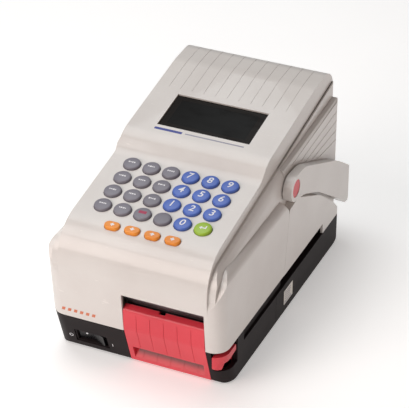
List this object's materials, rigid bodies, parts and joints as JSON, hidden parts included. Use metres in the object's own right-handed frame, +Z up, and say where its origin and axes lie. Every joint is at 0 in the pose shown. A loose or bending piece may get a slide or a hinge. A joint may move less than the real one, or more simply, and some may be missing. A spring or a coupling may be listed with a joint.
{
  "type": "desktop label printer",
  "caption": "Desktop thermal label printer with a sloped keypad, display window, lift-up cover, carry handle, drop-down label door and a geared print mechanism.",
  "frame": {"origin": "middle of the rest plane, on the surface the feet stand on, half way along the whole length with the handle down", "axes": "+X to the right seen from the front, +Y to the rear, +Z up"},
  "size_m": [0.174, 0.3061, 0.1835],
  "materials": {
    "shell": "fine satin texture",
    "dark_plastic": "fine texture",
    "red_plastic": "satin",
    "key_grey": "soft satin",
    "key_blue": "soft satin",
    "key_green": "soft satin",
    "key_orange": "soft satin",
    "switch_black": "gloss",
    "window": "gloss",
    "circuit_board": "lacquered",
    "soft_rubber": "matte",
    "steel": "zinc plated",
    "aluminium": "extruded",
    "black_rubber": "ground matte",
    "gear_plastic": "moulded",
    "brass": "machined",
    "motor_steel": "satin",
    "paper": "coated paper edges",
    "socket_plastic": "satin"
  },
  "bodies": {
    "base": {"rear_shell": "shell", "base_tray": "dark_plastic", "front_bezel": "dark_plastic", "rubber_feet": "black_rubber", "chassis": "steel", "hinge_pins": "steel", "switch_body": "dark_plastic", "stepper_motor": "motor_steel", "roll_holder": "dark_plastic", "main_board": "circuit_board", "power_supply": "steel", "rear_sockets": "socket_plastic", "case_screws": "steel"},
    "cover": {"top_cover": "shell", "display_window": "window", "display_module": "circuit_board", "key_mat": "soft_rubber", "key_board": "circuit_board", "head_bracket": "steel"},
    "head": {"print_head": "aluminium"},
    "handle": {"carry_handle": "shell", "handle_caps": "red_plastic"},
    "door": {"dispense_door": "red_plastic"},
    "liner_roller": {"pinch_roller": "black_rubber"},
    "latch": {"release_lever": "red_plastic", "latch_shaft": "steel"},
    "rocker": {"power_rocker": "switch_black"},
    "platen": {"platen_roller": "black_rubber", "platen_gear": "gear_plastic"},
    "idler": {"idler_gear": "gear_plastic"},
    "pinion": {"motor_pinion": "brass"},
    "roll": {"label_roll": "paper"},
    "key_f1": {"key_f1": "key_grey"},
    "key_f2": {"key_f2": "key_grey"},
    "key_f3": {"key_f3": "key_grey"},
    "key_7": {"key_7": "key_blue"},
    "key_8": {"key_8": "key_blue"},
    "key_9": {"key_9": "key_blue"},
    "key_f4": {"key_f4": "key_grey"},
    "key_f5": {"key_f5": "key_grey"},
    "key_f6": {"key_f6": "key_grey"},
    "key_4": {"key_4": "key_blue"},
    "key_5": {"key_5": "key_blue"},
    "key_6": {"key_6": "key_blue"},
    "key_f7": {"key_f7": "key_grey"},
    "key_f8": {"key_f8": "key_grey"},
    "key_f9": {"key_f9": "key_grey"},
    "key_1": {"key_1": "key_blue"},
    "key_2": {"key_2": "key_blue"},
    "key_3": {"key_3": "key_blue"},
    "key_f10": {"key_f10": "key_grey"},
    "key_f11": {"key_f11": "key_grey"},
    "key_stop": {"key_stop": "key_grey"},
    "key_blank": {"key_blank": "key_grey"},
    "key_0": {"key_0": "key_blue"},
    "key_enter": {"key_enter": "key_green"},
    "key_left": {"key_left": "key_orange"},
    "key_down": {"key_down": "key_orange"},
    "key_up": {"key_up": "key_orange"},
    "key_right": {"key_right": "key_orange"}
  },
  "joints": [
    {"name": "cover_hinge", "type": "hinge", "parent": "base", "child": "cover", "pos_m": [0, 0.136, 0.147], "axis": [1, 0, 0], "range_deg": [-55, 0]},
    {"name": "head_pivot", "type": "hinge", "parent": "cover", "child": "head", "pos_m": [0, -0.1, 0.085], "axis": [1, 0, 0], "range_deg": [-4, 0], "stiffness_Nm_per_rad": 2, "springref_deg": 1.72},
    {"name": "handle_pivot", "type": "hinge", "parent": "base", "child": "handle", "pos_m": [0, 0.005, 0.126], "axis": [1, 0, 0], "range_deg": [0, 115]},
    {"name": "door_hinge", "type": "hinge", "parent": "base", "child": "door", "pos_m": [0, -0.129, 0.012], "axis": [1, 0, 0], "range_deg": [0, 60]},
    {"name": "liner_roller_spin", "type": "hinge", "parent": "door", "child": "liner_roller", "pos_m": [0, -0.14, 0.051], "axis": [1, 0, 0], "continuous": true},
    {"name": "latch_turn", "type": "hinge", "parent": "base", "child": "latch", "pos_m": [0, -0.104, 0.014], "axis": [1, 0, 0], "range_deg": [0, 6], "stiffness_Nm_per_rad": 0.5, "springref_deg": -8.59},
    {"name": "rocker_tilt", "type": "hinge", "parent": "base", "child": "rocker", "pos_m": [-0.047, -0.13131, 0.0199], "axis": [0, -0.3219, 0.9468], "range_deg": [0, 14]},
    {"name": "platen_spin", "type": "hinge", "parent": "base", "child": "platen", "pos_m": [0, -0.13, 0.066], "axis": [1, 0, 0], "continuous": true},
    {"name": "idler_spin", "type": "hinge", "parent": "base", "child": "idler", "pos_m": [0, -0.1174, 0.04831], "axis": [1, 0, 0], "continuous": true},
    {"name": "pinion_spin", "type": "hinge", "parent": "base", "child": "pinion", "pos_m": [0, -0.103, 0.042], "axis": [1, 0, 0], "continuous": true},
    {"name": "roll_spin", "type": "hinge", "parent": "base", "child": "roll", "pos_m": [0, 0.074, 0.094], "axis": [1, 0, 0], "continuous": true},
    {"name": "key_f1_press", "type": "slide", "parent": "cover", "child": "key_f1", "axis": [0, 0.165, -0.9863], "range_m": [0, 0.0015], "stiffness_N_per_m": 250, "springref_m": -0.001},
    {"name": "key_f2_press", "type": "slide", "parent": "cover", "child": "key_f2", "axis": [0, 0.165, -0.9863], "range_m": [0, 0.0015], "stiffness_N_per_m": 250, "springref_m": -0.001},
    {"name": "key_f3_press", "type": "slide", "parent": "cover", "child": "key_f3", "axis": [0, 0.165, -0.9863], "range_m": [0, 0.0015], "stiffness_N_per_m": 250, "springref_m": -0.001},
    {"name": "key_7_press", "type": "slide", "parent": "cover", "child": "key_7", "axis": [0, 0.165, -0.9863], "range_m": [0, 0.0015], "stiffness_N_per_m": 250, "springref_m": -0.001},
    {"name": "key_8_press", "type": "slide", "parent": "cover", "child": "key_8", "axis": [0, 0.165, -0.9863], "range_m": [0, 0.0015], "stiffness_N_per_m": 250, "springref_m": -0.001},
    {"name": "key_9_press", "type": "slide", "parent": "cover", "child": "key_9", "axis": [0, 0.165, -0.9863], "range_m": [0, 0.0015], "stiffness_N_per_m": 250, "springref_m": -0.001},
    {"name": "key_f4_press", "type": "slide", "parent": "cover", "child": "key_f4", "axis": [0, 0.165, -0.9863], "range_m": [0, 0.0015], "stiffness_N_per_m": 250, "springref_m": -0.001},
    {"name": "key_f5_press", "type": "slide", "parent": "cover", "child": "key_f5", "axis": [0, 0.165, -0.9863], "range_m": [0, 0.0015], "stiffness_N_per_m": 250, "springref_m": -0.001},
    {"name": "key_f6_press", "type": "slide", "parent": "cover", "child": "key_f6", "axis": [0, 0.165, -0.9863], "range_m": [0, 0.0015], "stiffness_N_per_m": 250, "springref_m": -0.001},
    {"name": "key_4_press", "type": "slide", "parent": "cover", "child": "key_4", "axis": [0, 0.165, -0.9863], "range_m": [0, 0.0015], "stiffness_N_per_m": 250, "springref_m": -0.001},
    {"name": "key_5_press", "type": "slide", "parent": "cover", "child": "key_5", "axis": [0, 0.165, -0.9863], "range_m": [0, 0.0015], "stiffness_N_per_m": 250, "springref_m": -0.001},
    {"name": "key_6_press", "type": "slide", "parent": "cover", "child": "key_6", "axis": [0, 0.165, -0.9863], "range_m": [0, 0.0015], "stiffness_N_per_m": 250, "springref_m": -0.001},
    {"name": "key_f7_press", "type": "slide", "parent": "cover", "child": "key_f7", "axis": [0, 0.165, -0.9863], "range_m": [0, 0.0015], "stiffness_N_per_m": 250, "springref_m": -0.001},
    {"name": "key_f8_press", "type": "slide", "parent": "cover", "child": "key_f8", "axis": [0, 0.165, -0.9863], "range_m": [0, 0.0015], "stiffness_N_per_m": 250, "springref_m": -0.001},
    {"name": "key_f9_press", "type": "slide", "parent": "cover", "child": "key_f9", "axis": [0, 0.165, -0.9863], "range_m": [0, 0.0015], "stiffness_N_per_m": 250, "springref_m": -0.001},
    {"name": "key_1_press", "type": "slide", "parent": "cover", "child": "key_1", "axis": [0, 0.165, -0.9863], "range_m": [0, 0.0015], "stiffness_N_per_m": 250, "springref_m": -0.001},
    {"name": "key_2_press", "type": "slide", "parent": "cover", "child": "key_2", "axis": [0, 0.165, -0.9863], "range_m": [0, 0.0015], "stiffness_N_per_m": 250, "springref_m": -0.001},
    {"name": "key_3_press", "type": "slide", "parent": "cover", "child": "key_3", "axis": [0, 0.165, -0.9863], "range_m": [0, 0.0015], "stiffness_N_per_m": 250, "springref_m": -0.001},
    {"name": "key_f10_press", "type": "slide", "parent": "cover", "child": "key_f10", "axis": [0, 0.165, -0.9863], "range_m": [0, 0.0015], "stiffness_N_per_m": 250, "springref_m": -0.001},
    {"name": "key_f11_press", "type": "slide", "parent": "cover", "child": "key_f11", "axis": [0, 0.165, -0.9863], "range_m": [0, 0.0015], "stiffness_N_per_m": 250, "springref_m": -0.001},
    {"name": "key_stop_press", "type": "slide", "parent": "cover", "child": "key_stop", "axis": [0, 0.165, -0.9863], "range_m": [0, 0.0015], "stiffness_N_per_m": 250, "springref_m": -0.001},
    {"name": "key_blank_press", "type": "slide", "parent": "cover", "child": "key_blank", "axis": [0, 0.165, -0.9863], "range_m": [0, 0.0015], "stiffness_N_per_m": 250, "springref_m": -0.001},
    {"name": "key_0_press", "type": "slide", "parent": "cover", "child": "key_0", "axis": [0, 0.165, -0.9863], "range_m": [0, 0.0015], "stiffness_N_per_m": 250, "springref_m": -0.001},
    {"name": "key_enter_press", "type": "slide", "parent": "cover", "child": "key_enter", "axis": [0, 0.165, -0.9863], "range_m": [0, 0.0015], "stiffness_N_per_m": 250, "springref_m": -0.001},
    {"name": "key_left_press", "type": "slide", "parent": "cover", "child": "key_left", "axis": [0, 0.165, -0.9863], "range_m": [0, 0.0015], "stiffness_N_per_m": 250, "springref_m": -0.001},
    {"name": "key_down_press", "type": "slide", "parent": "cover", "child": "key_down", "axis": [0, 0.165, -0.9863], "range_m": [0, 0.0015], "stiffness_N_per_m": 250, "springref_m": -0.001},
    {"name": "key_up_press", "type": "slide", "parent": "cover", "child": "key_up", "axis": [0, 0.165, -0.9863], "range_m": [0, 0.0015], "stiffness_N_per_m": 250, "springref_m": -0.001},
    {"name": "key_right_press", "type": "slide", "parent": "cover", "child": "key_right", "axis": [0, 0.165, -0.9863], "range_m": [0, 0.0015], "stiffness_N_per_m": 250, "springref_m": -0.001}
  ],
  "couplings": [
    {"joint": "idler_spin", "follows": "platen_spin", "ratio": -1.25},
    {"joint": "pinion_spin", "follows": "platen_spin", "ratio": 2}
  ]
}
